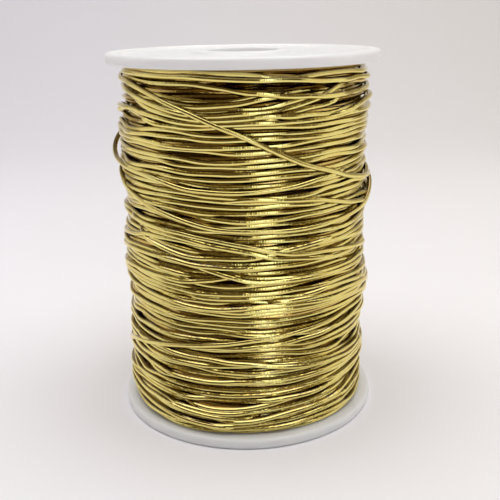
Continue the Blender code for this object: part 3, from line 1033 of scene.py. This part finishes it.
def bunch_lines(rng, degrees, settings):
    """The top turns: two to each bunch between neighbouring grooves, then the shoulder turns."""
    diameter = settings.diameter / MM
    low = np.full(len(degrees), WINDING_LOW / MM)
    grooves = np.vstack([low[None], swayed_lines(GROOVES, degrees)])
    lines = []
    for below, above in zip(grooves, grooves[1:]):
        crest = (below + above) / 2
        closeness = CLOSENESS + rounded_noise(rng, degrees, BUNCH_WAVES, CLOSENESS_SWAY)
        apart = np.minimum((above - below) / 4, diameter * np.clip(closeness, CLOSEST, LOOSEST))
        lines.append(crest - apart)
        lines.append(crest + apart)
    lines.extend(swayed_lines(SHOULDER_TURNS, degrees))
    strayed = []
    for line in lines:
        stray = rounded_noise(rng, degrees, STRAY_WAVES, settings.wander / MM)
        stray += rounded_noise(rng, degrees, QUICK_WAVES, settings.wander / MM / QUICK_SHARE)
        strayed.append(line + stray + apart_from_hollows(degrees, line))
    return np.array(strayed)


def crossing_route(stations):
    """Angles and heights of a crossing turn at each degree."""
    knots, heights = zip(*stations)
    angles = np.arange(knots[0], knots[-1] + 1)
    return angles, smooth_between(knots, heights, angles)


def current_winding(settings):
    """What lies on the reel so far; the first operator finds only the inner turns there."""
    if "winding" not in on_reel:
        on_reel["winding"] = Winding(settings.diameter / 2 / MM)
    return on_reel["winding"]


def wind_turns(settings, name, turns, settle, sunk, detail):
    """Lays the given turns one after another, each with its slack, and makes them one piece."""
    winding = current_winding(settings)
    step, roundness = detail
    runs = []
    for slack, stations in turns:
        angles, heights = crossing_route(stations)
        heights, radii = winding.lay(angles, heights, settle, sunk, slack, ends_under=True)
        runs.append(cord_points(angles, heights, radii, step))
    material = gold_foil_material(settings, "gold_foil", settings.gold, settings.pale_gold)
    return cord_tube(name, runs, settings.diameter / 2, roundness, material)


class CORD_OT_under_layers(bpy.types.Operator):
    """Winds the two layers that show between the top turns"""

    bl_idname = "cord_reel.under_layers"
    bl_label = "Wind the under layers"

    def execute(self, context):
        settings = context.scene.cord_settings
        rng = np.random.default_rng(UNDER_SEED)
        winding = current_winding(settings)
        # Painted shade: the under layers get a darker amber copy of the gold foil
        material = gold_foil_material(settings, "gold_foil_under", settings.under_shade_amber, settings.gold)
        count = int((winding.high - winding.low) / UNDER_PITCH)
        step, roundness = UNDER_DETAIL
        for name in ("lower_layer", "upper_layer"):
            lines = under_lines(rng, count, winding.degrees, winding.low, winding.high, UNDER_WANDER)
            runs = []
            for first in range(2):
                angles, heights = one_pass(lines, list(range(first, count, 2)))
                heights, radii = winding.lay(angles, heights, FIRST_SETTLE, SUNK_UNDER)
                runs.append(cord_points(angles, heights, tucked_in(angles, radii), step))
            cord_tube(name, runs, settings.diameter / 2, roundness, material)
        return {"FINISHED"}


class CORD_OT_sunken_turns(bpy.types.Operator):
    """Winds the turns that sag in the hollow under the shoulder"""

    bl_idname = "cord_reel.sunken_turns"
    bl_label = "Wind the sunken turns"

    def execute(self, context):
        turns = [(TAUT, stations) for stations in SUNKEN_TURNS.values()]
        wind_turns(context.scene.cord_settings, "sunken_turns", turns, FIRST_SETTLE, SUNK_UNDER, TOP_DETAIL)
        return {"FINISHED"}


class CORD_OT_top_turns(bpy.types.Operator):
    """Winds the top turns in three passes over the whole reel"""

    bl_idname = "cord_reel.top_turns"
    bl_label = "Wind the top turns"

    def execute(self, context):
        settings = context.scene.cord_settings
        rng = np.random.default_rng(TOP_SEED)
        winding = current_winding(settings)
        material = gold_foil_material(settings, "gold_foil", settings.gold, settings.pale_gold)
        lines = bunch_lines(rng, winding.degrees, settings)
        step, roundness = TOP_DETAIL
        for number in range(PASSES):
            order = list(range(number, len(lines), PASSES))
            if number % 2:
                order.reverse()
            angles, heights = one_pass(lines, order)
            heights, radii = winding.lay(angles, heights, FIRST_SETTLE, SUNK_TOP)
            points = cord_points(angles, heights, tucked_in(angles, radii), step)
            name = f"top_turns_{number + 1}"
            cord_tube(name, [points], settings.diameter / 2, roundness, material)
        return {"FINISHED"}


class CORD_OT_stray_turns(bpy.types.Operator):
    """Winds the turns that lie a little across their bunches"""

    bl_idname = "cord_reel.stray_turns"
    bl_label = "Wind the stray turns"

    def execute(self, context):
        turns = [(TAUT, stations) for stations in STRAY_TURNS.values()]
        wind_turns(context.scene.cord_settings, "stray_turns", turns, FIRST_SETTLE, SUNK_TOP, TOP_DETAIL)
        return {"FINISHED"}


class CORD_OT_crossing_turns(bpy.types.Operator):
    """Winds the last turns, which cross over the others"""

    bl_idname = "cord_reel.crossing_turns"
    bl_label = "Wind the crossing turns"

    def execute(self, context):
        settings = context.scene.cord_settings
        turns = CROSSING_TURNS.values()
        wind_turns(settings, "crossing_turns", turns, CROSSING_SETTLE, SUNK_CROSSING, CROSSING_DETAIL)
        return {"FINISHED"}


class CORD_OT_deep_body(bpy.types.Operator):
    """Builds the body of turns that fills the reel under the ones that show, dark with painted shade"""

    bl_idname = "cord_reel.deep_body"
    bl_label = "Fill the inside"

    def execute(self, context):
        inner = TUBE_RADIUS + FIT_GAP
        section = [(inner, WINDING_LOW), (inner, WINDING_HIGH)]
        for height, left, right in reversed(BARREL):
            section.append(((min(left, right) - INNER_DEPTH) * MM, height * MM))
        piece = drawn_out_ring(section, INNER_SIDES)
        bpy.ops.object.mode_set(mode="OBJECT")
        material = deep_turns_material(context.scene.cord_settings)
        finish_piece(piece, "inner_turns", material, "gold_cord", "winding")
        return {"FINISHED"}


class CORD_OT_flanges(bpy.types.Operator):
    """Moulds the two flanges, the upper one a turned-over copy, and gives the tube its plastic"""

    bl_idname = "cord_reel.flanges"
    bl_label = "Mould the flanges"

    def execute(self, context):
        settings = context.scene.reel_settings
        colour = list(settings.plastic)
        plastic = moulded_plastic_material("white_moulded_plastic", colour, FLANGE_GLOSS)
        lower = moulded_flange(settings)
        deselect_all()
        lower.select_set(True)
        bpy.context.view_layer.objects.active = lower
        bpy.ops.object.duplicate(linked=False)
        upper = bpy.context.object
        upper.rotation_euler = (math.pi, 0, 0)
        upper.location = (0, 0, REEL_HEIGHT)
        finish_piece(lower, "lower_flange", plastic, "reel_plastic", "flange_bottom")
        finish_piece(upper, "upper_flange", plastic, "reel_plastic", "flange_top")
        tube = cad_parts["core_tube"]
        tube.data.materials.clear()
        tube.data.materials.append(moulded_plastic_material("white_tube_plastic", colour, TUBE_GLOSS))
        return {"FINISHED"}


def area_light(name, power, size, place, colour):
    """A soft light that faces the middle of the reel."""
    data = bpy.data.lights.new(name, "AREA")
    data.shape = "RECTANGLE"
    data.size, data.size_y = size
    data.energy = power
    data.color = colour
    lamp = bpy.data.objects.new(name, data)
    bpy.context.scene.collection.objects.link(lamp)
    lamp.location = place
    aim = Vector((0, 0, REEL_HEIGHT / 2)) - Vector(place)
    lamp.rotation_euler = aim.to_track_quat("-Z", "Y").to_euler()


class CORD_OT_stage(bpy.types.Operator):
    """Sets the pale floor and backdrop, the soft lights and the camera"""

    bl_idname = "cord_reel.stage"
    bl_label = "Set the stage"

    def execute(self, context):
        settings = context.scene.stage_settings
        self.backdrop(settings)
        self.lights(settings)
        self.camera(settings)
        return {"FINISHED"}

    def backdrop(self, settings):
        """A sheet of paper: flat under the reel, then up behind it in one wide bend."""
        deselect_all()
        bpy.ops.mesh.primitive_plane_add(size=PAPER_SIZE, location=(0, -PAPER_FORWARD, 0))
        sheet = bpy.context.object
        bpy.ops.object.mode_set(mode="EDIT")
        bpy.ops.mesh.select_mode(type="EDGE")
        bpy.ops.mesh.select_all(action="DESELECT")
        bpy.ops.object.mode_set(mode="OBJECT")
        for edge in sheet.data.edges:
            edge.select = all(sheet.data.vertices[index].co.y > 1 for index in edge.vertices)
        bpy.ops.object.mode_set(mode="EDIT")
        bpy.ops.mesh.extrude_edges_move(TRANSFORM_OT_translate={"value": (0, 0, PAPER_HEIGHT)})
        bpy.ops.mesh.select_all(action="DESELECT")
        bpy.ops.object.mode_set(mode="OBJECT")
        for edge in sheet.data.edges:
            ends = [sheet.data.vertices[index].co for index in edge.vertices]
            edge.select = all(end.y > 1 and end.z < 0.01 for end in ends)
        bpy.ops.object.mode_set(mode="EDIT")
        bpy.ops.mesh.bevel(offset=PAPER_BEND, segments=PAPER_BEND_STEPS, affect="EDGES")
        bpy.ops.mesh.select_all(action="SELECT")
        bpy.ops.mesh.normals_make_consistent(inside=False)
        bpy.ops.object.mode_set(mode="OBJECT")
        bpy.ops.object.transform_apply(location=True, rotation=True, scale=True)
        bpy.ops.object.shade_smooth()
        sheet.name = "backdrop"
        paper = paper_material(list(settings.paper), list(settings.warm_lit_paper))
        sheet.data.materials.append(paper)

    def lights(self, settings):
        for name, (power, size, place, colour) in LIGHTS.items():
            area_light(name, getattr(settings, power), size, place, colour)
        world = bpy.data.worlds.new("pale_room")
        world.use_nodes = True
        background = world.node_tree.nodes["Background"]
        background.inputs["Color"].default_value = ROOM_COLOUR
        background.inputs["Strength"].default_value = settings.room_light
        bpy.context.scene.world = world

    def camera(self, settings):
        """The place and turn of the camera, measured against the flange's radius."""
        pitch = math.radians(CAMERA_PITCH)
        roll = math.radians(CAMERA_ROLL)
        place = Vector(CAMERA_PLACE) * FLANGE_RADIUS
        data = bpy.data.cameras.new("camera")
        data.sensor_width = SENSOR_WIDTH
        data.lens = settings.focal_length
        data.clip_start = NEAREST
        data.clip_end = FARTHEST
        camera = bpy.data.objects.new("camera", data)
        bpy.context.scene.collection.objects.link(camera)
        turn = Matrix.Rotation(math.pi / 2 - pitch, 4, "X") @ Matrix.Rotation(-roll, 4, "Z")
        camera.matrix_world = Matrix.Translation(place) @ turn
        bpy.context.scene.camera = camera
        bpy.context.scene.view_settings.view_transform = "Standard"


class CORD_PT_panel(bpy.types.Panel):
    """The reel's settings and steps in the 3D view's sidebar"""

    bl_label = "Cord reel"
    bl_idname = "CORD_PT_panel"
    bl_space_type = "VIEW_3D"
    bl_region_type = "UI"
    bl_category = "Cord reel"

    def draw(self, context):
        scene = context.scene
        for settings in (scene.cord_settings, scene.reel_settings, scene.stage_settings):
            box = self.layout.box()
            for name in settings.__annotations__:
                box.prop(settings, name)
        for operator in STEPS:
            self.layout.operator(operator.bl_idname)


STEPS = (
    CORD_OT_deep_body,
    CORD_OT_under_layers,
    CORD_OT_sunken_turns,
    CORD_OT_top_turns,
    CORD_OT_stray_turns,
    CORD_OT_crossing_turns,
    CORD_OT_flanges,
    CORD_OT_stage,
)
SETTINGS = {
    "cord_settings": CordSettings,
    "reel_settings": ReelSettings,
    "stage_settings": StageSettings,
}


def register():
    for group in SETTINGS.values():
        bpy.utils.register_class(group)
    for name, group in SETTINGS.items():
        setattr(bpy.types.Scene, name, PointerProperty(type=group))
    for operator in STEPS:
        bpy.utils.register_class(operator)
    bpy.utils.register_class(CORD_PT_panel)


def unregister():
    bpy.utils.unregister_class(CORD_PT_panel)
    for operator in reversed(STEPS):
        bpy.utils.unregister_class(operator)
    for name, group in SETTINGS.items():
        delattr(bpy.types.Scene, name)
        bpy.utils.unregister_class(group)


def main():
    register()
    bpy.ops.cord_reel.deep_body()
    bpy.ops.cord_reel.under_layers()
    bpy.ops.cord_reel.sunken_turns()
    bpy.ops.cord_reel.top_turns()
    bpy.ops.cord_reel.stray_turns()
    bpy.ops.cord_reel.crossing_turns()
    bpy.ops.cord_reel.flanges()
    bpy.ops.cord_reel.stage()


if __name__ == "__main__":
    main()
